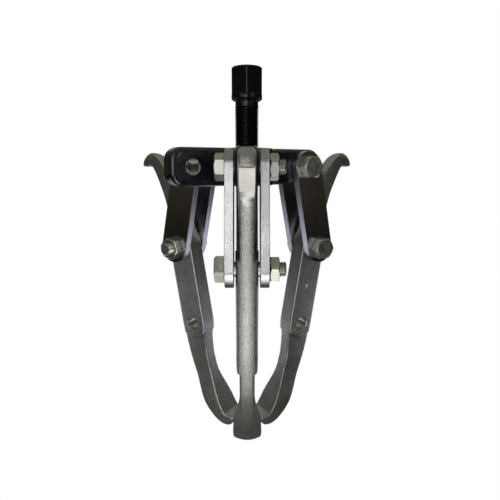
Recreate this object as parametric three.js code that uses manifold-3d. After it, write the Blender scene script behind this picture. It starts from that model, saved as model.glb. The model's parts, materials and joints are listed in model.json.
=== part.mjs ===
// A three-jaw reversible gear puller: a cast four-lug yoke, a forcing screw with a swivel
// pressure tip, three pairs of link straps and three double-ended jaws, bolted together.
//
// Millimetres, +Z up along the screw. The origin is the centre of the pressure tip's face.
// Each arm is drawn in its own radial plane: X away from the screw, Y up, Z across the arm.
import * as THREE from 'three';
import { mergeVertices } from 'three/addons/utils/BufferGeometryUtils.js';
import Module from 'manifold-3d';

const wasm = await Module();
wasm.setup();
const { Manifold, Mesh: SolidMesh } = wasm;

const DEGREE = Math.PI / 180;

// ---- Driving dimensions -----------------------------------------------------------------

// Clearances between pieces.
const SEAT_GAP = 0.3; // between faces that touch on the real tool
const PIN_CLEARANCE = 0.3; // round a pin in its hole, on the radius
const JAW_SIDE_CLEARANCE = 0.5; // jaw boss to link, each side
const TOE_CLEARANCE = 0.8; // how far the closed toes stop short of meeting, on the radius

// Arms round the screw. The fourth lug stands opposite the right arm, for two-jaw use.
const ARM_AZIMUTHS = { front: -90, right: 30, left: 150 };
const SPARE_LUG_AZIMUTH = 210;

// Forcing screw: 9/16 in, 18 threads to the inch, with an 11/16 in hexagon.
const SCREW_DIAMETER = 14.3;
const SCREW_HEX = 17.5;
const SCREW_HEX_LENGTH = 15.4;
const SCREW_COLLAR_LENGTH = 3.4; // cone from the hexagon to the neck
const SCREW_NECK_STEP = 0.6; // neck radius below the thread's
const SCREW_NECK_LENGTH = 1.8;
const SCREW_ABOVE_YOKE = 25.6; // thread showing above the yoke, at rest
const SCREW_THREAD_LENGTH = 108.6;
const SCREW_SPIGOT_DIAMETER = 6;
const SCREW_SPIGOT_LENGTH = 8;

// Pressure tip, which swivels on the screw's spigot.
const TIP_DIAMETER = 11.4;
const TIP_BODY_LENGTH = 9.5;
const TIP_CONE_LENGTH = 6;
const TIP_FACE_DIAMETER = 5;

// Yoke.
const YOKE_HEIGHT = 22;
const LUG_THICKNESS = 13;
const LUG_REACH = 13;
const LUG_CORNER_RADIUS = 7.5;
const HUB_WALL = 9.5; // metal round the threaded bore
const UPPER_BOLT_RADIUS = 38.3; // screw axis to the upper bolts
const YOKE_EDGE = 0.8;

// Link straps.
const LINK_PITCH = 53.5;
const LINK_WIDTH = 19.6;
const LINK_THICKNESS = 4.76;
const LINK_ANGLE = 11.5; // lean from vertical, at rest
const LINK_EDGE = 0.4;

// Bolts and thin nuts: 5/16 in with 1/2 in hexagons.
const BOLT_DIAMETER = 7.94;
const BOLT_HEX = 12.7;
const BOLT_HEAD_HEIGHT = 5.2;
const NUT_HEIGHT = 4.9;
const BOLT_STUB = 3.6; // thread past the nut

// Jaws.
const JAW_HOLE_PITCH = 53;
const JAW_BOSS_RADIUS = 9.8;
const ARM_THICKNESS = 9;
const FOOT_WIDTH = 17.5;
const UPPER_ARM_LENGTH = 56; // pivot hole to the hook's gripping ledge
const HOOK_DEPTH = 7; // ledge length under the hook
const HOOK_RISE = 9; // metal above the ledge
const LOWER_ARM_LENGTH = 62.4; // spare hole to the foot's gripping ledge
const TOE_DEPTH = 6.5; // ledge length on the foot
const TOE_DROP = 7.6; // metal below the ledge
const ARM_EDGE = 1;

// ---- Worked-out dimensions --------------------------------------------------------------

const LINK_GAP = LUG_THICKNESS + 2 * SEAT_GAP;
const LINK_OUTER_FACE = LINK_GAP / 2 + LINK_THICKNESS;
const JAW_BOSS_THICKNESS = LINK_GAP - 2 * JAW_SIDE_CLEARANCE;
const BOLT_HOLE_DIAMETER = BOLT_DIAMETER + 2 * PIN_CLEARANCE;
const HUB_RADIUS = SCREW_DIAMETER / 2 + HUB_WALL;
const LUG_END = UPPER_BOLT_RADIUS + LUG_REACH;

const SCREW_THREAD_TOP = YOKE_HEIGHT / 2 + SCREW_ABOVE_YOKE;
const SCREW_THREAD_END = SCREW_THREAD_TOP - SCREW_THREAD_LENGTH;
const TIP_TOP = SCREW_THREAD_END - SEAT_GAP;
const TIP_FACE = TIP_TOP - TIP_BODY_LENGTH - TIP_CONE_LENGTH;

const PIVOT_RADIUS = UPPER_BOLT_RADIUS + LINK_PITCH * Math.sin(LINK_ANGLE * DEGREE);
const PIVOT_HEIGHT = -LINK_PITCH * Math.cos(LINK_ANGLE * DEGREE);

// The hook's ledge and the foot's ledge, in the jaw's own plane, from the pivot hole. Both
// stand square to a worked-on rim once the jaws close on it, so each leans in the jaw.
const HOOK_ROOT = new THREE.Vector2(JAW_BOSS_RADIUS + 4.2, UPPER_ARM_LENGTH);
const HOOK_TIP = new THREE.Vector2(HOOK_ROOT.x + HOOK_DEPTH, HOOK_ROOT.y + 0.17 * HOOK_DEPTH);
const TOE_ROOT = new THREE.Vector2(-JAW_BOSS_RADIUS - 6.4, -JAW_HOLE_PITCH - LOWER_ARM_LENGTH);
const TOE_TIP = new THREE.Vector2(TOE_ROOT.x - TOE_DEPTH, TOE_ROOT.y - 0.25 * TOE_DEPTH);

// The jaws are closed at rest: the toes stop just short of each other, and the jaw's lean
// follows from that. Three toes 120 degrees apart meet where their corners touch.
const TOE_TIP_RADIUS = FOOT_WIDTH / 2 / Math.tan(60 * DEGREE) + TOE_CLEARANCE;
const JAW_LEAN = Math.acos((TOE_TIP_RADIUS - PIVOT_RADIUS) / TOE_TIP.length())
  - Math.atan2(-TOE_TIP.y, TOE_TIP.x);

// ---- Finishes ---------------------------------------------------------------------------

const blackPaint = () => new THREE.MeshStandardMaterial({ color: 0x0c0d12, roughness: 0.25, metalness: 0.1 });
const blackOxide = () => new THREE.MeshStandardMaterial({ color: 0x16171b, roughness: 0.45, metalness: 0.7 });
const hardenedSteel = () => new THREE.MeshStandardMaterial({ color: 0x7d7f84, roughness: 0.35, metalness: 1 });
const castSteel = () => new THREE.MeshStandardMaterial({ color: 0x8b8b88, roughness: 0.5, metalness: 0.9 });
const polishedPlate = () => new THREE.MeshStandardMaterial({ color: 0xb9b9c0, roughness: 0.15, metalness: 1 });
const brightZinc = () => new THREE.MeshStandardMaterial({ color: 0xc6cdcb, roughness: 0.3, metalness: 1 });

// ---- Solids -----------------------------------------------------------------------------

function solid(geometry) {
  const plain = geometry.clone();
  plain.deleteAttribute('normal');
  plain.deleteAttribute('uv');
  const merged = mergeVertices(plain, 1e-4);
  return new Manifold(new SolidMesh({
    numProp: 3,
    vertProperties: new Float32Array(merged.attributes.position.array),
    triVerts: new Uint32Array(merged.index.array),
  }));
}

function geometryOf(body) {
  const mesh = body.getMesh();
  const geometry = new THREE.BufferGeometry();
  geometry.setAttribute('position', new THREE.BufferAttribute(mesh.vertProperties, 3));
  geometry.setIndex(new THREE.BufferAttribute(mesh.triVerts, 1));
  geometry.computeVertexNormals();
  return geometry;
}

// A plate with a bevelled edge, drawn in XY and centred on Z = 0.
function plate(shape, thickness, edge, curveSegments = 8) {
  const geometry = new THREE.ExtrudeGeometry(shape, {
    depth: thickness - 2 * edge,
    bevelEnabled: edge > 0,
    bevelThickness: edge,
    bevelSize: edge,
    bevelOffset: -edge,
    bevelSegments: 1,
    curveSegments,
  });
  geometry.translate(0, 0, edge - thickness / 2);
  return solid(geometry);
}

// A round bar along Z, from its profile of [radius, height] points.
function turned(profile, segments = 28) {
  const points = profile.map(([radius, height]) => new THREE.Vector2(radius, height));
  const geometry = new THREE.LatheGeometry(points, segments);
  geometry.rotateX(Math.PI / 2);
  return solid(geometry);
}

function drill(diameter, length) {
  const radius = diameter / 2;
  const profile = [[0, -length / 2], [radius, -length / 2], [radius, length / 2], [0, length / 2]];
  return turned(profile, 20);
}

// A hexagon bar along Z with the corners turned off at its ends.
function hexagon(acrossFlats, bottom, top, chamferBottom, chamferTop) {
  const height = top - bottom;
  const corner = acrossFlats / Math.sqrt(3);
  const bar = new THREE.CylinderGeometry(corner, corner, height, 6);
  bar.rotateX(Math.PI / 2);
  bar.translate(0, 0, (top + bottom) / 2);
  const flat = acrossFlats / 2 - 0.2;
  const overlap = corner + 1;
  const rise = (overlap - flat) * Math.tan(30 * DEGREE);
  const turnedOff = turned([
    [0, bottom],
    [chamferBottom ? flat : overlap, bottom],
    [overlap, chamferBottom ? bottom + rise : bottom],
    [overlap, chamferTop ? top - rise : top],
    [chamferTop ? flat : overlap, top],
    [0, top],
  ]);
  return solid(bar).intersect(turnedOff);
}

// An outline round two holes of one strap or boss: full-round ends, straight sides.
function roundEnded(radius, pitch) {
  const shape = new THREE.Shape();
  shape.absarc(0, 0, radius, 0, Math.PI, false);
  shape.absarc(0, -pitch, radius, Math.PI, 2 * Math.PI, false);
  shape.closePath();
  return shape;
}

// ---- Yoke -------------------------------------------------------------------------------

function yokeSolid() {
  const half = YOKE_HEIGHT / 2;
  let body = turned([
    [0, -half],
    [HUB_RADIUS - YOKE_EDGE, -half],
    [HUB_RADIUS, -half + YOKE_EDGE],
    [HUB_RADIUS, half - YOKE_EDGE],
    [HUB_RADIUS - YOKE_EDGE, half],
    [0, half],
  ], 32);
  const azimuths = [...Object.values(ARM_AZIMUTHS), SPARE_LUG_AZIMUTH];
  const corner = Math.min(LUG_CORNER_RADIUS, half - 0.5);
  for (const azimuth of azimuths) {
    const outline = new THREE.Shape();
    outline.moveTo(0, half);
    outline.lineTo(0, -half);
    outline.lineTo(LUG_END - corner, -half);
    outline.absarc(LUG_END - corner, corner - half, corner, -Math.PI / 2, 0, false);
    outline.absarc(LUG_END - corner, half - corner, corner, 0, Math.PI / 2, false);
    const lug = plate(outline, LUG_THICKNESS, YOKE_EDGE);
    const hole = drill(BOLT_HOLE_DIAMETER, LUG_THICKNESS + 2).translate([UPPER_BOLT_RADIUS, 0, 0]);
    body = body.add(lug.rotate([90, 0, azimuth])).subtract(hole.rotate([90, 0, azimuth]));
  }
  return body.subtract(drill(SCREW_DIAMETER + 2 * PIN_CLEARANCE, YOKE_HEIGHT + 2));
}

// ---- Forcing screw and pressure tip -----------------------------------------------------

function screwSolid() {
  const radius = SCREW_DIAMETER / 2;
  const neck = radius - SCREW_NECK_STEP;
  const spigot = SCREW_SPIGOT_DIAMETER / 2;
  const hexBottom = SCREW_THREAD_TOP + SCREW_NECK_LENGTH + SCREW_COLLAR_LENGTH;
  const shaft = turned([
    [0, SCREW_THREAD_END - SCREW_SPIGOT_LENGTH],
    [spigot - 0.4, SCREW_THREAD_END - SCREW_SPIGOT_LENGTH],
    [spigot, SCREW_THREAD_END - SCREW_SPIGOT_LENGTH + 0.4],
    [spigot, SCREW_THREAD_END],
    [neck - 0.4, SCREW_THREAD_END],
    [radius, SCREW_THREAD_END + 1],
    [radius, SCREW_THREAD_TOP - SCREW_NECK_STEP],
    [neck, SCREW_THREAD_TOP],
    [neck, SCREW_THREAD_TOP + SCREW_NECK_LENGTH],
    [SCREW_HEX / 2 - 0.2, hexBottom],
    [SCREW_HEX / 2 - 0.2, hexBottom + 2],
    [0, hexBottom + 2],
  ]);
  return shaft.add(hexagon(SCREW_HEX, hexBottom, hexBottom + SCREW_HEX_LENGTH, true, true));
}

function tipSolid() {
  const radius = TIP_DIAMETER / 2;
  const body = turned([
    [0, TIP_FACE],
    [TIP_FACE_DIAMETER / 2, TIP_FACE],
    [radius, TIP_FACE + TIP_CONE_LENGTH],
    [radius, TIP_TOP - 0.5],
    [radius - 0.5, TIP_TOP],
    [0, TIP_TOP],
  ]);
  const socketDepth = SCREW_SPIGOT_LENGTH;
  const socket = drill(SCREW_SPIGOT_DIAMETER + 2 * PIN_CLEARANCE, 2 * socketDepth);
  return body.subtract(socket.translate([0, 0, TIP_TOP]));
}

// ---- Links, bolts and nuts --------------------------------------------------------------

function linkSolid() {
  let strap = plate(roundEnded(LINK_WIDTH / 2, LINK_PITCH), LINK_THICKNESS, LINK_EDGE);
  for (const height of [0, -LINK_PITCH]) {
    const hole = drill(BOLT_HOLE_DIAMETER, LINK_THICKNESS + 2).translate([0, height, 0]);
    strap = strap.subtract(hole);
  }
  return strap;
}

// The head is on the +Z side of the arm and the thread runs out on the -Z side.
function boltSolid() {
  const seat = LINK_OUTER_FACE + SEAT_GAP;
  const radius = BOLT_DIAMETER / 2;
  const end = -(seat + NUT_HEIGHT + BOLT_STUB);
  const shank = turned([
    [0, end],
    [radius - 0.8, end],
    [radius, end + 0.8],
    [radius, seat + 1],
    [0, seat + 1],
  ], 20);
  return shank.add(hexagon(BOLT_HEX, seat, seat + BOLT_HEAD_HEIGHT, false, true));
}

function nutSolid() {
  const seat = -(LINK_OUTER_FACE + SEAT_GAP);
  const bar = hexagon(BOLT_HEX, seat - NUT_HEIGHT, seat, true, true);
  const bore = drill(BOLT_HOLE_DIAMETER, NUT_HEIGHT + 2).translate([0, 0, seat - NUT_HEIGHT / 2]);
  return bar.subtract(bore);
}

// ---- Jaws -------------------------------------------------------------------------------

// Side outline of the whole jaw, drawn from the pivot hole and running clockwise from it: up
// the outer edge, round the hook, down the inner edge to the foot, and back up the outside.
function jawOutline() {
  const r = JAW_BOSS_RADIUS;
  const p = JAW_HOLE_PITCH;
  const h = UPPER_ARM_LENGTH;
  const f = -p - LOWER_ARM_LENGTH;
  const point = (x, y) => new THREE.Vector2(x, y);
  const shape = new THREE.Shape();
  shape.moveTo(r, 0);
  shape.splineThru([point(r - 2.8, 0.36 * h), point(r - 1.8, 0.64 * h), point(r + 3.2, h - 2)]);
  shape.lineTo(HOOK_ROOT.x, HOOK_ROOT.y);
  shape.lineTo(HOOK_TIP.x, HOOK_TIP.y);
  shape.lineTo(HOOK_TIP.x + 0.5, HOOK_TIP.y + 1);
  shape.splineThru([
    point(HOOK_TIP.x - 2, h + 0.7 * HOOK_RISE),
    point(HOOK_ROOT.x - 1, h + HOOK_RISE),
    point(r - 4.2, h + 0.42 * HOOK_RISE),
    point(2.2 - r * 0.5, 0.8 * h),
    point(2.6 - r, 0.4 * h),
    point(-r, 0),
  ]);
  shape.lineTo(-r, -p);
  shape.splineThru([
    point(2.6 - r, f + 0.7 * LOWER_ARM_LENGTH),
    point(1.8 - r, f + 0.45 * LOWER_ARM_LENGTH),
    point(-r - 3, f + 0.16 * LOWER_ARM_LENGTH),
    point(TOE_ROOT.x + 0.9, f + 2.6),
  ]);
  shape.quadraticCurveTo(TOE_ROOT.x, f, TOE_ROOT.x - 1.8, f - 0.45);
  shape.lineTo(TOE_TIP.x, TOE_TIP.y);
  shape.lineTo(TOE_TIP.x + 0.6, TOE_TIP.y - 0.42 * TOE_DROP);
  shape.splineThru([
    point(TOE_ROOT.x + 1.2, f - TOE_DROP),
    point(-0.6 * r, f - 0.4 * TOE_DROP),
    point(0.14 * r, f + 0.13 * LOWER_ARM_LENGTH),
    point(0.53 * r, f + 0.39 * LOWER_ARM_LENGTH),
    point(0.85 * r, f + 0.68 * LOWER_ARM_LENGTH),
    point(r, -p),
  ]);
  shape.closePath();
  return shape;
}

// Front outline: one thickness down to the lower arm, then a flare to the full foot width.
function jawFrontOutline() {
  const top = UPPER_ARM_LENGTH + HOOK_RISE + 2;
  const ledge = -JAW_HOLE_PITCH - LOWER_ARM_LENGTH;
  const bottom = ledge - TOE_DROP - 2;
  const arm = ARM_THICKNESS / 2;
  const foot = FOOT_WIDTH / 2;
  const flareTop = ledge + 0.5 * LOWER_ARM_LENGTH;
  const flareEnd = ledge + 0.08 * LOWER_ARM_LENGTH;
  const flareBend = (flareTop + flareEnd) / 2;
  const shape = new THREE.Shape();
  shape.moveTo(arm, top);
  shape.lineTo(-arm, top);
  shape.lineTo(-arm, flareTop);
  shape.bezierCurveTo(-arm, flareBend, -foot, flareBend, -foot, flareEnd);
  shape.lineTo(-foot, bottom);
  shape.lineTo(foot, bottom);
  shape.lineTo(foot, flareEnd);
  shape.bezierCurveTo(foot, flareBend, arm, flareBend, arm, flareTop);
  shape.closePath();
  return shape;
}

function jawSolid() {
  const reach = JAW_BOSS_RADIUS + HOOK_DEPTH + TOE_DEPTH + 20;
  const side = plate(jawOutline(), FOOT_WIDTH, ARM_EDGE, 3);
  const slab = plate(jawOutline(), ARM_THICKNESS, ARM_EDGE, 3);
  const front = plate(jawFrontOutline(), 2 * reach, 0, 6).rotate([0, 90, 0]);
  const boss = plate(roundEnded(JAW_BOSS_RADIUS, JAW_HOLE_PITCH), JAW_BOSS_THICKNESS, ARM_EDGE);
  let body = slab.add(side.intersect(front)).add(boss);
  for (const height of [0, -JAW_HOLE_PITCH]) {
    const hole = drill(BOLT_HOLE_DIAMETER, FOOT_WIDTH + 2).translate([0, height, 0]);
    body = body.subtract(hole);
  }
  return body;
}

// ---- Assembly ---------------------------------------------------------------------------

const puller = new THREE.Group();
puller.position.z = -TIP_FACE;

function addPiece(group, name, geometry, material) {
  const mesh = new THREE.Mesh(geometry, material);
  mesh.name = name;
  group.add(mesh);
  return mesh;
}

addPiece(puller, 'yoke', geometryOf(yokeSolid()), blackPaint());
addPiece(puller, 'forcing_screw', geometryOf(screwSolid()), blackOxide());
addPiece(puller, 'pressure_tip', geometryOf(tipSolid()), hardenedSteel());

const linkGeometry = geometryOf(linkSolid());
const boltGeometry = geometryOf(boltSolid());
const nutGeometry = geometryOf(nutSolid());
const jawGeometry = geometryOf(jawSolid());

// How far each hexagon was left turned when it was tightened.
const HEAD_TURNS = {
  front: { upper: 0, lower: 30 },
  right: { upper: 30, lower: 30 },
  left: { upper: 0, lower: 30 },
};
const NUT_TURNS = { upper: 10, lower: 18 };

for (const [arm, azimuth] of Object.entries(ARM_AZIMUTHS)) {
  const turn = new THREE.Group();
  turn.rotation.z = azimuth * DEGREE;
  puller.add(turn);
  const plane = new THREE.Group();
  plane.rotation.x = Math.PI / 2;
  turn.add(plane);

  const pins = {
    upper: [UPPER_BOLT_RADIUS, 0],
    lower: [PIVOT_RADIUS, PIVOT_HEIGHT],
  };
  const linkCentre = LINK_GAP / 2 + LINK_THICKNESS / 2;
  for (const [side, across] of [['head_side', linkCentre], ['nut_side', -linkCentre]]) {
    const link = addPiece(plane, `link_${arm}_${side}`, linkGeometry, polishedPlate());
    link.position.set(UPPER_BOLT_RADIUS, 0, across);
    link.rotation.z = LINK_ANGLE * DEGREE;
  }
  for (const [place, [radius, height]] of Object.entries(pins)) {
    const bolt = addPiece(plane, `${place}_bolt_${arm}`, boltGeometry, brightZinc());
    bolt.position.set(radius, height, 0);
    bolt.rotation.z = HEAD_TURNS[arm][place] * DEGREE;
    const nut = addPiece(plane, `${place}_nut_${arm}`, nutGeometry, brightZinc());
    nut.position.set(radius, height, 0);
    nut.rotation.z = NUT_TURNS[place] * DEGREE;
  }
  const jaw = addPiece(plane, `jaw_${arm}`, jawGeometry, castSteel());
  jaw.position.set(PIVOT_RADIUS, PIVOT_HEIGHT, 0);
  jaw.rotation.z = -JAW_LEAN;
}

export default puller;
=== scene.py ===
import json
import math

import bpy
from mathutils import Matrix, Vector


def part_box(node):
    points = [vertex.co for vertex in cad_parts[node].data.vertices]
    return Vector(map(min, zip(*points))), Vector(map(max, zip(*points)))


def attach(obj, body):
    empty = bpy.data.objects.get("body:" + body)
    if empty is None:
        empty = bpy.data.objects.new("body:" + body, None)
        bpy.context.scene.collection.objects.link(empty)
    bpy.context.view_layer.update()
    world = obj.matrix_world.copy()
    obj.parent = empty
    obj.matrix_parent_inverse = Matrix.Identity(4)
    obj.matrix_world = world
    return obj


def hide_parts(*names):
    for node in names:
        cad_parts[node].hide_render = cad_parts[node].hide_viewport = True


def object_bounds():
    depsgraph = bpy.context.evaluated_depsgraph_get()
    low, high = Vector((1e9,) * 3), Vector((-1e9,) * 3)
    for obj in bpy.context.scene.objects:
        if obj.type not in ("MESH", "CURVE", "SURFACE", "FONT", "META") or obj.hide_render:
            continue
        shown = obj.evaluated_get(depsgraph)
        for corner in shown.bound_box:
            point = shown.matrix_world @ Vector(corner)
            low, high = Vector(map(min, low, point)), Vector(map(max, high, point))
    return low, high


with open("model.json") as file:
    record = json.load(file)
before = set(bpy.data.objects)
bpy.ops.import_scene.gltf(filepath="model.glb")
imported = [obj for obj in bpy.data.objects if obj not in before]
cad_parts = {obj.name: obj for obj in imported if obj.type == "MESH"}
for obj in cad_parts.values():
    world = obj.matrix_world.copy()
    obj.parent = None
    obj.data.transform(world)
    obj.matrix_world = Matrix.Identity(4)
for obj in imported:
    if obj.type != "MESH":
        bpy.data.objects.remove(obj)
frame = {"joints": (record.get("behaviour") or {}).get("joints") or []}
CAD_LOW, CAD_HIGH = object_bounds()

# Pieces are modelled in millimetres and brought into the row frame, in metres, by settle().
MM = 0.001
JOINTS = {joint["name"]: joint for joint in frame["joints"]}


def hinge_place(joint):
    """A hinge's distance from the screw's axis and its height, in millimetres."""
    x, y, z = JOINTS[joint]["pos_m"]
    return math.hypot(x, y) / MM, z / MM


UPPER_RADIUS, YOKE_LEVEL = hinge_place("link_swing_front")
PIVOT_RADIUS, PIVOT_LEVEL = hinge_place("jaw_swing_front")

ARM_AZIMUTH = {"front": -90.0, "right": 30.0, "left": 150.0}
SPARE_LUG_AZIMUTH = 210.0
LUG_AZIMUTHS = [*ARM_AZIMUTH.values(), SPARE_LUG_AZIMUTH]

THREAD_PITCH = 1.411
SCREW_RADIUS = 7.15
SCREW_THREAD_DEPTH = 0.92
SCREW_HEX = 17.5
SCREW_HEX_LENGTH = 15.4
SCREW_COLLAR = 3.4
NECK_RADIUS = 6.8

YOKE_HEIGHT = 22.0
LUG_THICKNESS = 13.0
HUB_RADIUS = 16.65
LUG_REACH = 13.0
LUG_CORNER_RADIUS = 7.5
LUG_ROUNDING = 3.0
YOKE_BORE_RADIUS = 7.45

LINK_PITCH = math.hypot(PIVOT_RADIUS - UPPER_RADIUS, PIVOT_LEVEL - YOKE_LEVEL)
LINK_WIDTH = 19.6
LINK_THICKNESS = 4.76
LINK_OUTER_FACE = 11.56

BOLT_RADIUS = 3.97
BOLT_THREAD_DEPTH = 0.62
BOLT_PITCH = 1.27
HOLE_RADIUS = 4.27
HEXAGON = 12.7
HEAD_HEIGHT = 5.2
NUT_HEIGHT = 4.9
BOLT_STUB = 3.6
SEAT_GAP = 0.3
HEAD_TURN = {
    "front": {"upper": 0.0, "lower": 30.0},
    "right": {"upper": 30.0, "lower": 30.0},
    "left": {"upper": 0.0, "lower": 30.0},
}
NUT_TURN = {"upper": 10.0, "lower": 18.0}

JAW_HOLE_PITCH = 53.0
JAW_BOSS_RADIUS = 9.8
JAW_BOSS_THICKNESS = 12.6
ARM_THICKNESS = 9.0
FOOT_WIDTH = 17.5
UPPER_ARM = 56.0
LOWER_ARM = 62.4
TOE_LEVEL = -JAW_HOLE_PITCH - LOWER_ARM
JAW_LEAN = math.radians(10.2257)


# ---- Modelling helpers ------------------------------------------------------------------

def deselect():
    if bpy.context.object and bpy.context.object.mode != "OBJECT":
        bpy.ops.object.mode_set(mode="OBJECT")
    bpy.ops.object.select_all(action="DESELECT")


def take(obj):
    deselect()
    obj.select_set(True)
    bpy.context.view_layer.objects.active = obj
    return obj


def freeze(obj):
    """The object's place goes into its mesh."""
    take(obj)
    bpy.ops.object.transform_apply(location=True, rotation=True, scale=True)
    return obj


def with_modifier(obj, kind, **settings):
    take(obj)
    modifier = obj.modifiers.new(kind.title(), kind)
    for key, value in settings.items():
        setattr(modifier, key, value)
    bpy.ops.object.modifier_apply(modifier=modifier.name)
    return obj


def combine(obj, tool, operation, material=None, solver="EXACT"):
    if material:
        tool.data.materials.clear()
        tool.data.materials.append(material)
    settings = {"operation": operation, "object": tool, "solver": solver}
    if solver == "EXACT":
        settings["material_mode"] = "TRANSFER" if material else "INDEX"
    with_modifier(obj, "BOOLEAN", **settings)
    bpy.data.objects.remove(tool)
    return obj


def cut(obj, tool, material=None, solver="EXACT"):
    return combine(obj, tool, "DIFFERENCE", material, solver)


def fuse(obj, tool, solver="MANIFOLD"):
    return combine(obj, tool, "UNION", None, solver)


def keep_inside(obj, tool, solver="MANIFOLD"):
    return combine(obj, tool, "INTERSECT", None, solver)


AXIS_TURN = {"Z": (0, 0, 0), "Y": (math.pi / 2, 0, 0), "X": (0, math.pi / 2, 0)}


def rod(name, radius, length, centre=(0, 0, 0), axis="Z", sides=64):
    deselect()
    bpy.ops.mesh.primitive_cylinder_add(
        vertices=sides, radius=radius, depth=length, location=centre, rotation=AXIS_TURN[axis]
    )
    obj = bpy.context.object
    obj.name = name
    return freeze(obj)


def block(name, size, centre, turn=(0, 0, 0)):
    deselect()
    bpy.ops.mesh.primitive_cube_add(size=1, location=centre, rotation=turn)
    obj = bpy.context.object
    obj.name = name
    obj.scale = size
    return freeze(obj)


def turned(name, profile, sides=64):
    """A closed body of revolution about Z, from (radius, height) pairs, bottom to top."""
    deselect()
    radius, height = profile[0]
    bpy.ops.mesh.primitive_circle_add(
        vertices=sides, radius=radius, fill_type="NGON", location=(0, 0, height)
    )
    obj = bpy.context.object
    obj.name = name
    freeze(obj)
    bpy.ops.object.mode_set(mode="EDIT")
    bpy.ops.mesh.select_all(action="SELECT")
    for wide, high in profile[1:]:
        bpy.ops.mesh.extrude_region_move(TRANSFORM_OT_translate={"value": (0, 0, high - height)})
        spread = wide / radius
        bpy.ops.transform.resize(value=(spread, spread, 1), center_override=(0, 0, high))
        radius, height = wide, high
    outward(obj)
    return obj


def outward(obj):
    take(obj)
    bpy.ops.object.mode_set(mode="EDIT")
    bpy.ops.mesh.select_all(action="SELECT")
    bpy.ops.mesh.normals_make_consistent(inside=False)
    bpy.ops.object.mode_set(mode="OBJECT")
    return obj


def plate(name, outline, thickness, across="Y"):
    """A flat plate: a ring of vertices set on the outline, filled, then extruded."""
    deselect()
    bpy.ops.mesh.primitive_circle_add(vertices=len(outline), radius=1, fill_type="NGON")
    obj = bpy.context.object
    obj.name = name
    half = thickness / 2
    for vertex, (wide, high) in zip(obj.data.vertices, outline):
        vertex.co = (wide, -half, high) if across == "Y" else (-half, wide, high)
    bpy.ops.object.mode_set(mode="EDIT")
    bpy.ops.mesh.select_all(action="SELECT")
    move = (0, thickness, 0) if across == "Y" else (thickness, 0, 0)
    bpy.ops.mesh.extrude_region_move(TRANSFORM_OT_translate={"value": move})
    bpy.ops.object.mode_set(mode="OBJECT")
    return outward(obj)


def threaded(name, radius, depth, pitch, low, high, steps=28):
    """A rod with a real helical thread, cut square at both ends."""
    root = radius - depth
    profile = bpy.data.meshes.new(name)
    points = [(root, 0, 0), (radius, 0, 0.42 * pitch), (radius, 0, 0.56 * pitch), (root, 0, pitch)]
    profile.from_pydata(points, [(0, 1), (1, 2), (2, 3)], [])
    obj = bpy.data.objects.new(name, profile)
    bpy.context.collection.objects.link(obj)
    turns = math.ceil((high - low) / pitch) + 3
    with_modifier(
        obj, "SCREW", axis="Z", angle=2 * math.pi, screw_offset=pitch, iterations=turns,
        steps=steps, render_steps=steps, use_merge_vertices=True, merge_threshold=0.01,
        use_smooth_shade=False,
    )
    take(obj).location.z = low - 1.5 * pitch
    freeze(obj)
    bpy.ops.object.mode_set(mode="EDIT")
    bpy.ops.mesh.select_all(action="SELECT")
    bpy.ops.mesh.remove_doubles(threshold=0.004)
    for level, facing in ((low, -1), (high, 1)):
        bpy.ops.mesh.select_all(action="SELECT")
        bpy.ops.mesh.bisect(
            plane_co=(0, 0, level), plane_no=(0, 0, facing), use_fill=True, clear_outer=True
        )
    bpy.ops.object.mode_set(mode="OBJECT")
    return outward(obj)


def turn_about(obj, axis, angle, centre=(0, 0, 0)):
    """Turns the object's mesh about a line parallel to an axis."""
    about = Matrix.Translation(centre)
    obj.data.transform(about @ Matrix.Rotation(angle, 4, axis) @ about.inverted())
    return obj


def shift(obj, move):
    obj.data.transform(Matrix.Translation(move))
    return obj


def copied(obj, name):
    twin = obj.copy()
    twin.data = obj.data.copy()
    twin.name = name
    bpy.context.collection.objects.link(twin)
    return twin


def settle(obj, name, azimuth, body, node):
    """Brings a finished piece from millimetres to its place on its arm, and ties it to the CAD."""
    obj.name = name
    obj.data.name = name
    obj.data.transform(Matrix.Scale(MM, 4))
    obj.data.transform(Matrix.Rotation(math.radians(azimuth), 4, "Z"))
    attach(obj, body)
    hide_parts(node)
    return obj


def soften(obj, degrees=30):
    """Smooth shading that leaves the flats flat and the edges sharp."""
    take(obj)
    bpy.ops.object.shade_smooth_by_angle(angle=math.radians(degrees))
    return with_modifier(obj, "WEIGHTED_NORMAL", keep_sharp=True, weight=80)


def smooth_run(points, steps=5):
    """Points on a smooth curve through the given ones."""
    run = []
    last = len(points) - 1
    for i in range(last):
        a, b = points[max(i - 1, 0)], points[i]
        c, d = points[i + 1], points[min(i + 2, last)]
        for k in range(1, steps + 1):
            t = k / steps
            run.append(tuple(
                0.5 * (2 * q + (r - p) * t + (2 * p - 5 * q + 4 * r - s) * t * t
                       + (3 * q - p - 3 * r + s) * t ** 3)
                for p, q, r, s in zip(a, b, c, d)
            ))
    return run


# ---- Materials --------------------------------------------------------------------------

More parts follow.
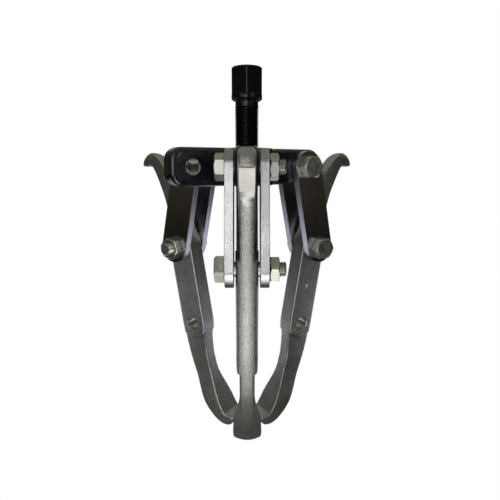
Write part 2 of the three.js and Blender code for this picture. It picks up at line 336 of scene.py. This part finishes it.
class Nodes:
    """A short way to write a node material."""

    def __init__(self, name):
        self.material = bpy.data.materials.new(name)
        self.material.use_nodes = True
        self.tree = self.material.node_tree
        self.shader = self.tree.nodes["Principled BSDF"]
        self.place = self.tree.nodes.new("ShaderNodeTexCoord").outputs["Object"]

    def add(self, kind, **inputs):
        node = self.tree.nodes.new("ShaderNode" + kind)
        for key, value in inputs.items():
            self.feed(node.inputs[key.replace("_", " ")], value)
        return node

    def feed(self, socket, value):
        if isinstance(value, bpy.types.NodeSocket):
            self.tree.links.new(value, socket)
        else:
            socket.default_value = value

    def stretched(self, scale):
        return self.add("Mapping", Vector=self.place, Scale=scale).outputs["Vector"]

    def noise(self, scale, detail=2.0, roughness=0.5, stretch=None):
        vector = self.stretched(stretch) if stretch else self.place
        node = self.add("TexNoise", Vector=vector, Scale=scale, Detail=detail, Roughness=roughness)
        return node.outputs["Fac"]

    def between(self, fac, low, high, start=0.3, end=0.7):
        node = self.add("MapRange", Value=fac)
        node.inputs["From Min"].default_value = start
        node.inputs["From Max"].default_value = end
        node.inputs["To Min"].default_value = low
        node.inputs["To Max"].default_value = high
        return node.outputs["Result"]

    def blend(self, fac, first, second):
        node = self.tree.nodes.new("ShaderNodeMix")
        node.data_type = "RGBA"
        self.feed(node.inputs["Factor"], fac)
        self.feed(node.inputs["A"], first)
        self.feed(node.inputs["B"], second)
        return node.outputs["Result"]

    def maths(self, operation, first, second=0.0):
        node = self.tree.nodes.new("ShaderNodeMath")
        node.operation = operation
        self.feed(node.inputs[0], first)
        self.feed(node.inputs[1], second)
        return node.outputs["Value"]

    def bump(self, height, distance, strength=1.0, under=None):
        node = self.add("Bump", Height=height, Strength=strength, Distance=distance)
        if under:
            self.feed(node.inputs["Normal"], under)
        return node.outputs["Normal"]

    def worn_and_highlit_edges(self, start, end):
        node = self.tree.nodes.new("ShaderNodeNewGeometry")
        return self.between(node.outputs["Pointiness"], 0.0, 1.0, start, end)

    def finish(self, **inputs):
        for key, value in inputs.items():
            self.feed(self.shader.inputs[key.replace("_", " ")], value)
        return self.material


def rgb(red, green, blue):
    return (red, green, blue, 1.0)


def forged_steel():
    """Tumbled forging: satin grey with a fine pebbled skin, near-white on its arrises: partly edge
    wear, partly a painted highlight.
    """
    n = Nodes("forged_jaw_steel")
    patches = n.noise(90, 3)
    pebble = n.noise(1500, 3, 0.65)
    scale = n.noise(650, 3, 0.6)
    colour = n.blend(n.between(patches, 0, 1), rgb(0.42, 0.42, 0.405), rgb(0.54, 0.54, 0.53))
    colour = n.blend(n.between(scale, 0, 0.06, 0.55, 0.7), colour, rgb(0.2, 0.19, 0.17))
    colour = n.blend(n.between(pebble, 0.5, 0, 0.4, 0.57), colour, rgb(0.18, 0.175, 0.16))
    # Near-white on sharp edges: partly edge wear, partly a painted highlight standing in for the
    # bright reflection along the arrises.
    edge_wear_and_highlight = n.maths("MULTIPLY", n.worn_and_highlit_edges(0.525, 0.56), n.between(n.noise(500), 0.5, 1))
    colour = n.blend(edge_wear_and_highlight, colour, rgb(0.95, 0.95, 0.94))
    roughness = n.between(pebble, 0.24, 0.38)
    roughness = n.maths("ADD", roughness, n.maths("MULTIPLY", edge_wear_and_highlight, 0.1))
    normal = n.bump(scale, 0.00012, 0.5)
    normal = n.bump(pebble, 0.00028, 1.0, normal)
    return n.finish(Base_Color=colour, Metallic=1.0, Roughness=roughness, Normal=normal)


def ground_steel():
    """A face dressed on a grinding belt: bright, with fine lines across it."""
    n = Nodes("ground_jaw_face")
    lines = n.noise(300, 3, 0.7, (0.15, 0.15, 14))
    tone = n.noise(120)
    colour = n.blend(n.between(tone, 0, 1), rgb(0.27, 0.27, 0.26), rgb(0.38, 0.38, 0.37))
    colour = n.blend(n.between(lines, 0, 0.4, 0.5, 0.75), colour, rgb(0.2, 0.195, 0.18))
    return n.finish(
        Base_Color=colour, Metallic=1.0, Roughness=n.between(lines, 0.24, 0.38),
        Normal=n.bump(lines, 0.00005, 0.6),
    )


def polished_steel():
    """Plated strap: nearly mirror-bright faces with drawn lines, and a speckled edge."""
    n = Nodes("polished_link_plate")
    drawn = n.noise(900, 3, 0.6, (1, 1, 0.05))
    speckle = n.noise(2100, 2, 0.7)
    cloud = n.noise(60, 2)
    colour = n.blend(n.between(cloud, 0, 1), rgb(0.42, 0.415, 0.435), rgb(0.58, 0.575, 0.6))
    colour = n.blend(n.between(speckle, 0, 0.6, 0.47, 0.66), colour, rgb(0.2, 0.185, 0.21))
    grain = n.maths("ADD", drawn, n.maths("MULTIPLY", speckle, 0.4))
    roughness = n.between(grain, 0.1, 0.24, 0.4, 1)
    normal = n.bump(drawn, 0.00004, 0.35)
    normal = n.bump(speckle, 0.00012, 0.7, normal)
    return n.finish(Base_Color=colour, Metallic=1.0, Roughness=roughness, Normal=normal)


def zinc_steel():
    """Bright zinc plate on bolts and nuts, slightly clouded and scuffed."""
    n = Nodes("zinc_fastener_plate")
    cloud = n.noise(260, 3)
    fine = n.noise(2200, 2)
    colour = n.blend(n.between(cloud, 0, 1), rgb(0.38, 0.385, 0.355), rgb(0.55, 0.555, 0.515))
    colour = n.blend(n.between(fine, 0, 0.3, 0.6, 0.75), colour, rgb(0.35, 0.36, 0.33))
    return n.finish(
        Base_Color=colour, Metallic=0.84, Roughness=n.between(cloud, 0.22, 0.36),
        Normal=n.bump(fine, 0.00004, 0.5),
    )


def black_paint():
    """Gloss black paint over a casting, with a slight orange peel."""
    n = Nodes("yoke_gloss_black")
    peel = n.noise(700, 2)
    dust = n.noise(180, 4, 0.65)
    clean, dusty = rgb(0.006, 0.006, 0.009), rgb(0.013, 0.013, 0.018)
    colour = n.blend(n.between(dust, 0, 1, 0.45, 0.7), clean, dusty)
    return n.finish(
        Base_Color=colour, Roughness=n.between(dust, 0.16, 0.3), Normal=n.bump(peel, 0.00008, 0.4),
        Specular_IOR_Level=0.5, Coat_Weight=0.4, Coat_Roughness=0.08,
    )


def black_oxide():
    """Oiled black oxide on the screw, rubbed slightly where it is handled."""
    n = Nodes("screw_black_oxide")
    mottled = n.noise(220, 3)
    fine = n.noise(2400, 2)
    colour = n.blend(n.between(mottled, 0, 1), rgb(0.002, 0.002, 0.0023), rgb(0.006, 0.006, 0.0064))
    return n.finish(
        Base_Color=colour, Roughness=n.between(fine, 0.16, 0.26), Specular_IOR_Level=0.4,
        Normal=n.bump(fine, 0.00002, 0.4),
    )


def turned_steel():
    """Hardened tip, with rings left by turning."""
    n = Nodes("hardened_tip_steel")
    rings = n.noise(400, 2, 0.6, (0.2, 0.2, 12))
    tint = n.noise(160, 3)
    colour = n.blend(n.between(tint, 0, 1), rgb(0.3, 0.29, 0.28), rgb(0.46, 0.45, 0.43))
    return n.finish(
        Base_Color=colour, Metallic=1.0, Roughness=n.between(rings, 0.24, 0.4),
        Normal=n.bump(rings, 0.00005, 0.5),
    )


def bare_bore():
    """Machined wall of a drilled hole."""
    n = Nodes("machined_bore")
    rings = n.noise(900, 2, 0.6)
    colour = n.blend(n.between(rings, 0, 1), rgb(0.4, 0.39, 0.36), rgb(0.62, 0.61, 0.58))
    return n.finish(
        Base_Color=colour, Metallic=1.0, Roughness=n.between(rings, 0.22, 0.4),
        Normal=n.bump(rings, 0.00006, 0.5),
    )


FORGED = forged_steel()
GROUND = ground_steel()
POLISHED = polished_steel()
ZINC = zinc_steel()
PAINT = black_paint()
OXIDE = black_oxide()
TIP_STEEL = turned_steel()
BORE_STEEL = bare_bore()


def coat(obj, material):
    obj.data.materials.clear()
    obj.data.materials.append(material)
    return obj


# ---- Camera -----------------------------------------------------------------------------

CAMERA_PLACE = (0.0, -0.2828, YOKE_LEVEL * MM + 0.0008)
CAMERA_TILT = math.radians(90 - 10.43)
CAMERA_YAW = math.radians(-0.38)
CAMERA_LENS = 33.05


def make_camera():
    deselect()
    bpy.ops.object.camera_add(location=CAMERA_PLACE, rotation=(CAMERA_TILT, 0, CAMERA_YAW))
    camera = bpy.context.object
    camera.name = "camera"
    camera.data.lens = CAMERA_LENS
    camera.data.sensor_width = 36
    camera.data.clip_start = 0.01
    bpy.context.scene.camera = camera


make_camera()


# ---- Stage ------------------------------------------------------------------------------

FLOOR_LEVEL = CAD_LOW.z - 0.0005


def lamp(name, place, aim, size, watts, colour):
    deselect()
    bpy.ops.object.light_add(type="AREA", location=place)
    light = bpy.context.object
    light.name = name
    light.data.shape = "RECTANGLE"
    light.data.size, light.data.size_y = size
    light.data.energy = watts
    light.data.color = colour
    facing = Vector(aim) - Vector(place)
    light.rotation_euler = facing.to_track_quat("-Z", "Y").to_euler()
    return light


def stage_material(name, warm, cool):
    """A plain white floor to the camera. To other rays it glows as painted light: what it lights
    falls off to the sides, is cooler behind, and is dark close round the tool as a painted shadow.
    """
    n = Nodes(name)
    tree = n.tree
    path = tree.nodes.new("ShaderNodeLightPath")
    glow = tree.nodes.new("ShaderNodeEmission")
    reach = tree.nodes.new("ShaderNodeVectorMath")
    reach.operation = "LENGTH"
    n.feed(reach.inputs[0], n.place)
    split = tree.nodes.new("ShaderNodeSeparateXYZ")
    n.feed(split.inputs["Vector"], n.place)
    behind = n.between(split.outputs["Y"], 0.0, 1.0, 0.0, 0.1)
    sideways = n.maths("ABSOLUTE", n.maths("ADD", split.outputs["X"], 0.008))
    aside = n.between(sideways, 1.0, 0.01, 0.028, 0.085)
    aside = n.maths("MAXIMUM", aside, behind)
    # Painted shadow: the glow drops to 0.04 close round the tool, as under a lit object.
    painted_tool_shadow = n.between(reach.outputs["Value"], 0.04, 1.0, 0.1, 0.19)
    far = n.between(reach.outputs["Value"], 1.0, 0.0, 0.35, 0.55)
    # Painted pool of light on the floor, seen only in reflections and indirect light.
    painted_light_pool = n.maths("MULTIPLY", n.maths("MULTIPLY", painted_tool_shadow, far), aside)
    lit = n.blend(painted_light_pool, rgb(0, 0, 0), n.blend(behind, warm, cool))
    n.feed(glow.inputs["Color"], n.blend(path.outputs["Is Camera Ray"], lit, rgb(1, 1, 1)))
    glow.inputs["Strength"].default_value = 1.0
    tree.links.new(glow.outputs["Emission"], tree.nodes["Material Output"].inputs["Surface"])
    return n.material


def make_stage():
    deselect()
    bpy.ops.mesh.primitive_circle_add(
        vertices=96, radius=1.5, fill_type="NGON", location=(0, 0, FLOOR_LEVEL)
    )
    floor = freeze(bpy.context.object)
    floor.name = "floor"
    coat(floor, stage_material("pale_floor", rgb(3.1, 3.03, 2.9), rgb(0.75, 0.79, 0.92)))

    world = bpy.data.worlds.new("studio")
    bpy.context.scene.world = world
    world.use_nodes = True
    tree = world.node_tree
    background = tree.nodes["Background"]
    path = tree.nodes.new("ShaderNodeLightPath")
    around = tree.nodes.new("ShaderNodeTexCoord")
    split = tree.nodes.new("ShaderNodeSeparateXYZ")
    tree.links.new(around.outputs["Generated"], split.inputs["Vector"])
    ramp = tree.nodes.new("ShaderNodeValToRGB")
    ramp.color_ramp.elements[0].position = 0.0
    ramp.color_ramp.elements[0].color = rgb(0.055, 0.045, 0.031)
    ramp.color_ramp.elements[1].position = 0.7
    ramp.color_ramp.elements[1].color = rgb(0.3, 0.29, 0.24)
    ramp.color_ramp.elements.new(0.25).color = rgb(0.03, 0.03, 0.025)
    tree.links.new(split.outputs["Z"], ramp.inputs["Fac"])
    mix = tree.nodes.new("ShaderNodeMix")
    mix.data_type = "RGBA"
    tree.links.new(path.outputs["Is Camera Ray"], mix.inputs["Factor"])
    tree.links.new(ramp.outputs["Color"], mix.inputs["A"])
    mix.inputs["B"].default_value = rgb(1, 1, 1)
    tree.links.new(mix.outputs["Result"], background.inputs["Color"])

    middle = (0, 0, 0.04)
    lamp("front_softbox", (-0.16, -0.73, 0.16), middle, (0.44, 0.6), 1.6, (1.0, 0.99, 0.97))
    lamp("left_strip", (-0.64, -0.66, 0.14), middle, (0.12, 0.5), 0.2, (1.0, 1.0, 1.0))
    lamp("right_strip", (0.64, -0.66, 0.14), middle, (0.12, 0.5), 0.22, (1.0, 1.0, 1.0))
    lamp("back_light", (0.0, 0.8, 0.3), middle, (0.9, 0.4), 0.5, (0.85, 0.9, 1.0))


make_stage()
bpy.context.scene.view_settings.view_transform = "Standard"


# ---- Forcing screw and its tip ----------------------------------------------------------

def hexagon_prism(name, across_flats, low, high):
    """A six-sided bar about Z with two corners on the Y axis."""
    return rod(name, across_flats / math.sqrt(3), high - low, (0, 0, (low + high) / 2), sides=6)


def node_heights(node):
    low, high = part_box(node)
    return low.z / MM, high.z / MM


def make_screw():
    _, top = node_heights("forcing_screw")
    tip_low, tip_high = node_heights("pressure_tip")
    collar_top = top - SCREW_HEX_LENGTH
    neck_top = collar_top - SCREW_COLLAR
    thread_top = neck_top - 0.6 - 1.8
    thread_low = tip_high + SEAT_GAP
    corner = SCREW_HEX / math.sqrt(3)
    flat = SCREW_HEX / 2
    head = hexagon_prism("screw_head", SCREW_HEX, collar_top - 1, top)
    with_modifier(
        head, "BEVEL", width=0.5, segments=4, limit_method="ANGLE", angle_limit=math.radians(50)
    )
    crown = turned("screw_crown", [
        (corner + 0.3, collar_top - 1), (corner + 0.3, top - 1.9), (flat + 0.35, top - 0.75),
        (flat - 0.3, top - 0.2), (flat - 1.1, top),
    ])
    keep_inside(head, crown)
    collar = turned("screw_collar", [
        (flat - 0.6, neck_top), (flat + 0.1, neck_top + 0.6), (flat + 0.35, neck_top + 1.1),
        (flat + 0.35, collar_top - 0.2), (flat - 0.1, collar_top + 0.4),
    ])
    fuse(head, collar)
    neck = turned("screw_neck", [
        (NECK_RADIUS, thread_top - 1.5), (NECK_RADIUS, neck_top - 0.7),
        (NECK_RADIUS + 0.5, neck_top - 0.2), (NECK_RADIUS + 0.5, neck_top + 0.6),
    ])
    fuse(head, neck)
    shank = threaded(
        "screw_thread", SCREW_RADIUS, SCREW_THREAD_DEPTH, THREAD_PITCH, thread_low, thread_top
    )
    ends = turned("screw_ends", [
        (SCREW_RADIUS - 1.1, thread_low), (SCREW_RADIUS + 0.2, thread_low + 1.2),
        (SCREW_RADIUS + 0.2, thread_top - 1.0), (SCREW_RADIUS - 0.9, thread_top),
    ])
    keep_inside(shank, ends)
    fuse(head, shank)
    spigot = turned("screw_spigot", [
        (2.4, tip_high - 7.7), (3.0, tip_high - 7.2), (3.0, thread_low + 0.5),
    ], 32)
    fuse(head, spigot)
    coat(soften(head, 32), OXIDE)
    settle(head, "forcing_screw.visual", 0, "screw", "forcing_screw")


def make_tip():
    low, high = node_heights("pressure_tip")
    tip = turned("tip", [
        (2.1, low), (2.5, low + 0.4), (5.3, low + 5.7), (5.7, low + 6.3), (5.7, high - 3.6),
        (5.45, high - 3.4), (5.45, high - 2.6), (5.7, high - 2.4), (5.7, high - 0.5), (5.2, high),
    ])
    cut(tip, rod("tip_socket", 3.3, 8.3, (0, 0, high - 4.05), sides=32))
    coat(soften(tip, 28), TIP_STEEL)
    settle(tip, "pressure_tip.visual", 0, "tip", "pressure_tip")


make_screw()
make_tip()


# ---- Yoke -------------------------------------------------------------------------------

def make_yoke():
    yoke = rod("hub", HUB_RADIUS, YOKE_HEIGHT, (0, 0, YOKE_LEVEL), sides=96)
    with_modifier(
        yoke, "BEVEL", width=1.6, segments=4, limit_method="ANGLE", angle_limit=math.radians(50)
    )
    corner_radius = UPPER_RADIUS + LUG_REACH - LUG_CORNER_RADIUS
    corner_height = YOKE_HEIGHT / 2 - LUG_CORNER_RADIUS
    for azimuth in LUG_AZIMUTHS:
        outline = [(0.0, YOKE_LEVEL + YOKE_HEIGHT / 2)]
        for side in (1, -1):
            for k in range(13):
                angle = math.pi / 2 * (k if side < 0 else 12 - k) / 12
                outline.append((
                    corner_radius + LUG_CORNER_RADIUS * math.cos(angle),
                    YOKE_LEVEL + side * (corner_height + LUG_CORNER_RADIUS * math.sin(angle)),
                ))
        outline.append((0.0, YOKE_LEVEL - YOKE_HEIGHT / 2))
        lug = plate("lug", outline, LUG_THICKNESS)
        with_modifier(
            lug, "BEVEL", width=LUG_ROUNDING, segments=5, limit_method="ANGLE",
            angle_limit=math.radians(50),
        )
        turn_about(lug, "Z", math.radians(azimuth))
        fuse(yoke, lug)
    with_modifier(yoke, "REMESH", mode="VOXEL", voxel_size=0.6)
    with_modifier(yoke, "SMOOTH", factor=0.5, iterations=9)
    coat(yoke, PAINT)
    bore = turned("yoke_bore", [
        (YOKE_BORE_RADIUS + 1.0, YOKE_LEVEL - 12), (YOKE_BORE_RADIUS + 1.0, YOKE_LEVEL - 10.9),
        (YOKE_BORE_RADIUS, YOKE_LEVEL - 10), (YOKE_BORE_RADIUS, YOKE_LEVEL + 10),
        (YOKE_BORE_RADIUS + 1.0, YOKE_LEVEL + 10.9), (YOKE_BORE_RADIUS + 1.0, YOKE_LEVEL + 12),
    ])
    cut(yoke, bore, BORE_STEEL)
    half = LUG_THICKNESS / 2
    for azimuth in LUG_AZIMUTHS:
        hole = turned("lug_hole", [
            (HOLE_RADIUS + 0.9, -half - 0.6), (HOLE_RADIUS, -half + 0.35),
            (HOLE_RADIUS, half - 0.35), (HOLE_RADIUS + 0.9, half + 0.6),
        ], 48)
        turn_about(hole, "X", math.pi / 2)
        shift(hole, (UPPER_RADIUS, 0, YOKE_LEVEL))
        turn_about(hole, "Z", math.radians(azimuth))
        cut(yoke, hole, BORE_STEEL)
    take(yoke)
    bpy.ops.object.shade_smooth_by_angle(angle=math.radians(38))
    settle(yoke, "yoke.visual", 0, "yoke", "yoke")


make_yoke()


# ---- Links ------------------------------------------------------------------------------

def make_link():
    """A strap along -Z from the upper hole, centred on its own thickness."""
    strap = rod("strap", LINK_WIDTH / 2, LINK_THICKNESS, axis="Y", sides=64)
    bpy.ops.object.mode_set(mode="EDIT")
    bpy.ops.mesh.select_all(action="DESELECT")
    bpy.ops.object.mode_set(mode="OBJECT")
    for vertex in strap.data.vertices:
        vertex.select = vertex.co.z < -0.01
    bpy.ops.object.mode_set(mode="EDIT")
    bpy.ops.transform.translate(value=(0, 0, -LINK_PITCH))
    bpy.ops.object.mode_set(mode="OBJECT")
    for height in (0, -LINK_PITCH):
        cut(strap, rod("strap_hole", HOLE_RADIUS, 12, (0, 0, height), "Y", 48))
    with_modifier(
        strap, "BEVEL", width=0.3, segments=3, limit_method="ANGLE", angle_limit=math.radians(50)
    )
    coat(soften(strap, 30), POLISHED)
    return strap


# ---- Bolts and nuts ---------------------------------------------------------------------

def hexagon_body(name, low, high, low_chamfer, high_chamfer):
    """A hexagon about Z with the corners turned off at the chosen ends."""
    corner = HEXAGON / math.sqrt(3)
    flat = HEXAGON / 2
    body = hexagon_prism(name, HEXAGON, low, high)
    profile = [(corner + 0.2, low)]
    if low_chamfer:
        profile = [(flat - 0.35, low), (corner + 0.2, low + 0.95)]
    if high_chamfer:
        profile += [(corner + 0.2, high - 0.95), (flat - 0.35, high)]
    else:
        profile += [(corner + 0.2, high)]
    return keep_inside(body, turned(name + "_crown", profile))


def make_bolt():
    """A bolt about Z with its head at the bottom, centred between the links."""
    face = LINK_OUTER_FACE + SEAT_GAP
    end = face + NUT_HEIGHT + BOLT_STUB
    bolt = hexagon_body("bolt", -face - HEAD_HEIGHT, -face, True, False)
    for k in range(3):
        angle = math.radians(90 + 120 * k)
        place = (3.7 * math.cos(angle), 3.7 * math.sin(angle), -face - HEAD_HEIGHT)
        cut(bolt, block("head_dash", (2.3, 0.4, 0.5), place, (0, 0, angle)))
    thread_low = face + 1.0
    shank_low = -face - 1
    shank_middle = (0, 0, (thread_low + shank_low) / 2)
    fuse(bolt, rod("shank", BOLT_RADIUS, thread_low - shank_low, shank_middle, sides=40))
    tail = threaded(
        "bolt_thread", BOLT_RADIUS, BOLT_THREAD_DEPTH, BOLT_PITCH, thread_low - 0.5, end, 24
    )
    keep_inside(tail, turned("tail_end", [
        (BOLT_RADIUS + 0.2, thread_low - 0.5), (BOLT_RADIUS + 0.2, end - 0.9),
        (BOLT_RADIUS - 0.7, end),
    ], 40))
    fuse(bolt, tail)
    coat(soften(bolt, 30), ZINC)
    return bolt


def make_nut():
    face = LINK_OUTER_FACE + SEAT_GAP
    nut = hexagon_body("nut", face, face + NUT_HEIGHT, True, True)
    middle = face + NUT_HEIGHT / 2
    bore = turned("nut_bore", [
        (HOLE_RADIUS + 0.5, face - 0.2), (HOLE_RADIUS, face + 0.5),
        (HOLE_RADIUS, 2 * middle - face - 0.5), (HOLE_RADIUS + 0.5, 2 * middle - face + 0.2),
    ], 40)
    cut(nut, bore)
    coat(soften(nut, 30), ZINC)
    return nut


# ---- Jaws -------------------------------------------------------------------------------
# A jaw is modelled about its pivot hole: X points away from the screw, Z up, Y across.

def jaw_outline():
    r, h, f = JAW_BOSS_RADIUS, UPPER_ARM, TOE_LEVEL
    outer_upper = smooth_run([
        (r, -20), (r, -4), (r - 2.8, 0.36 * h), (r - 1.8, 0.64 * h), (r + 3.2, h - 2),
    ])[5:]
    hook_under = [(14.0, h), (16.5, h + 0.25), (19.2, h + 0.6), (21.0, h + 1.2), (21.5, h + 2.2)]
    back = smooth_run([
        (21.5, h + 2.2), (19.0, h + 6.3), (13.0, h + 9.0), (5.6, h + 3.8), (-2.7, 0.8 * h),
        (-7.2, 0.4 * h), (-r, 0),
    ])
    inner_lower = smooth_run([
        (-r, -JAW_HOLE_PITCH), (2.6 - r, f + 0.7 * LOWER_ARM), (1.8 - r, f + 0.45 * LOWER_ARM),
        (-r - 3, f + 0.16 * LOWER_ARM), (-15.3, f + 2.6),
    ])
    toe = [(-16.3, f + 0.6), (-18.0, f - 0.45), (-22.7, f - 1.6), (-22.1, f - 4.8)]
    outer_lower = smooth_run([
        (-22.1, f - 4.8), (-15.0, f - 7.6), (-0.6 * r, f - 3.0), (0.14 * r, f + 0.13 * LOWER_ARM),
        (0.53 * r, f + 0.39 * LOWER_ARM), (0.85 * r, f + 0.68 * LOWER_ARM), (r, -JAW_HOLE_PITCH),
    ])
    return (
        [(r, -4)] + outer_upper + hook_under + back + [(-r, -JAW_HOLE_PITCH)] + inner_lower
        + toe + outer_lower
    )


def jaw_front_outline():
    top = UPPER_ARM + 9.6
    bottom = TOE_LEVEL - 7.6
    arm, foot = ARM_THICKNESS / 2, FOOT_WIDTH / 2
    flare_top = TOE_LEVEL + 0.5 * LOWER_ARM
    flare_end = TOE_LEVEL + 0.08 * LOWER_ARM
    flare = []
    for k in range(13):
        t = k / 12
        ease = t * t * (3 - 2 * t)
        flare.append((arm + (foot - arm) * ease, flare_top + (flare_end - flare_top) * t))
    crown = []
    for k in range(1, 9):
        angle = math.pi / 2 * (1 - k / 8)
        crown.append((arm * math.cos(angle), top - 5.2 + 5.2 * math.sin(angle)))
    corner = []
    for k in range(1, 6):
        angle = math.pi / 2 * k / 6
        corner.append((foot - 2.4 + 2.4 * math.cos(angle), bottom + 3 - 3 * math.sin(angle)))
    side = [(0.8, top)] + crown + flare + [(foot, bottom + 3)] + corner + [(foot - 2.4, bottom)]
    return side + [(-wide, high) for wide, high in reversed(side)]


LAND_END_RADIUS = 16.0
LAND_END = 9.5


def land_outline():
    """Thick land round both bolt holes: as wide as the jaw, with a shallow arc at each end."""
    wide = JAW_BOSS_RADIUS + 2
    reach = math.asin(wide / LAND_END_RADIUS)
    ring = []
    top_centre = LAND_END - LAND_END_RADIUS
    for end, centre in ((1, top_centre), (-1, -top_centre - JAW_HOLE_PITCH)):
        for k in range(25):
            angle = end * reach * (1 - k / 12)
            ring.append((
                LAND_END_RADIUS * math.sin(angle),
                centre + end * LAND_END_RADIUS * math.cos(angle),
            ))
    return ring


# Height on the jaw, with how far in and out its side outline reaches there.
JAW_SECTIONS = [
    (66, 8, 20), (60, 5.6, 18), (54, 2.5, 13), (44.8, -2.7, 10), (36, -5, 8), (22.4, -7.2, 7),
    (0, -9.8, 9.8), (-53, -9.8, 9.8), (-73, -7.2, 8.3), (-91, -8.5, 5.2), (-107, -13.3, 1.4),
    (-115, -16.3, -3.5), (-118.4, -20, -5.9), (-124, -22, -12),
]


def outwardness(wide, high):
    """0 on the jaw's inner side and 1 on its outer side."""
    for above, below in zip(JAW_SECTIONS, JAW_SECTIONS[1:]):
        if high >= below[0]:
            break
    share = min(max((above[0] - high) / (above[0] - below[0]), 0.0), 1.0)
    inner = above[1] + (below[1] - above[1]) * share
    outer = above[2] + (below[2] - above[2]) * share
    return min(max((wide - inner) / (outer - inner), 0.0), 1.0)


DRAFT = 0.14
FOOT_LEVEL = -106.0
CROWN = 1.5
CROWN_SPAN = 6.0
GRINDER_RADIUS = 60.0


def make_jaw():
    jaw = coat(plate("jaw", jaw_outline(), FOOT_WIDTH + 2), FORGED)
    keep_inside(jaw, plate("jaw_front", jaw_front_outline(), 90, "X"))
    land = plate("jaw_land", land_outline(), JAW_BOSS_THICKNESS)
    fuse(jaw, keep_inside(land, plate("jaw_side", jaw_outline(), FOOT_WIDTH + 4)))
    with_modifier(jaw, "REMESH", mode="VOXEL", voxel_size=0.55)
    with_modifier(jaw, "SMOOTH", factor=0.5, iterations=7)
    coat(jaw, FORGED)
    # The forging's draft: its outer side is narrower than its inner one, and crowned.
    for vertex in jaw.data.vertices:
        outwards = outwardness(vertex.co.x, vertex.co.z)
        vertex.co.x -= CROWN * outwards * (vertex.co.y / CROWN_SPAN) ** 2
        above_foot = min(max((vertex.co.z - FOOT_LEVEL) / 16, 0.0), 1.0)
        vertex.co.y *= 1 - DRAFT * above_foot * outwards * outwards
    grinder = rod("grinder", GRINDER_RADIUS, 40, axis="Y", sides=256)
    cut(grinder, block("grinder_end", (200, 60, 100), (0, 0, UPPER_ARM - 32.8 + 50)))
    turn_about(grinder, "Z", math.radians(2.5))
    shift(grinder, (67.9, 0, 32.2))
    cut(jaw, grinder, GROUND)
    for height in (0, -JAW_HOLE_PITCH):
        hole = turned("jaw_hole", [
            (HOLE_RADIUS + 1.6, -7.2), (HOLE_RADIUS, -5.5),
            (HOLE_RADIUS, 5.5), (HOLE_RADIUS + 1.6, 7.2),
        ], 48)
        turn_about(hole, "X", math.pi / 2)
        shift(hole, (0, 0, height))
        cut(jaw, hole, BORE_STEEL)
    take(jaw)
    bpy.ops.object.shade_smooth_by_angle(angle=math.radians(38))
    return jaw


def dimple():
    """The dent left by a hardness test on one jaw's side."""
    deselect()
    bpy.ops.mesh.primitive_uv_sphere_add(
        segments=32, ring_count=16, radius=2.6, location=(-2.6, -JAW_BOSS_THICKNESS / 2 - 1.7, -27)
    )
    return freeze(bpy.context.object)


# ---- Assembly of the arms ---------------------------------------------------------------

strap = make_link()
bolt = make_bolt()
nut = make_nut()
jaw = make_jaw()
LINK_SLOPE = math.atan2(PIVOT_RADIUS - UPPER_RADIUS, YOKE_LEVEL - PIVOT_LEVEL)
LINK_CENTRE = LINK_OUTER_FACE - LINK_THICKNESS / 2
PIN_PLACE = {"upper": (UPPER_RADIUS, 0, YOKE_LEVEL), "lower": (PIVOT_RADIUS, 0, PIVOT_LEVEL)}

for arm, azimuth in ARM_AZIMUTH.items():
    for side, across in (("head_side", -LINK_CENTRE), ("nut_side", LINK_CENTRE)):
        link = copied(strap, "link")
        turn_about(link, "Y", -LINK_SLOPE)
        shift(link, (UPPER_RADIUS, across, YOKE_LEVEL))
        node = f"link_{arm}_{side}"
        settle(link, node + ".visual", azimuth, "links_" + arm, node)
    for place, centre in PIN_PLACE.items():
        for master, kind, turns in ((bolt, "bolt", HEAD_TURN[arm]), (nut, "nut", NUT_TURN)):
            piece = copied(master, kind)
            turn_about(piece, "Z", math.radians(turns[place]))
            turn_about(piece, "X", -math.pi / 2)
            shift(piece, centre)
            node = f"{place}_{kind}_{arm}"
            settle(piece, node + ".visual", azimuth, "links_" + arm, node)
    blade = copied(jaw, "jaw")
    if arm == "right":
        cut(blade, dimple(), BORE_STEEL)
    turn_about(blade, "Y", JAW_LEAN)
    shift(blade, (PIVOT_RADIUS, 0, PIVOT_LEVEL))
    node = "jaw_" + arm
    settle(blade, node + ".visual", azimuth, node, node)

for master in (strap, bolt, nut, jaw):
    bpy.data.objects.remove(master)
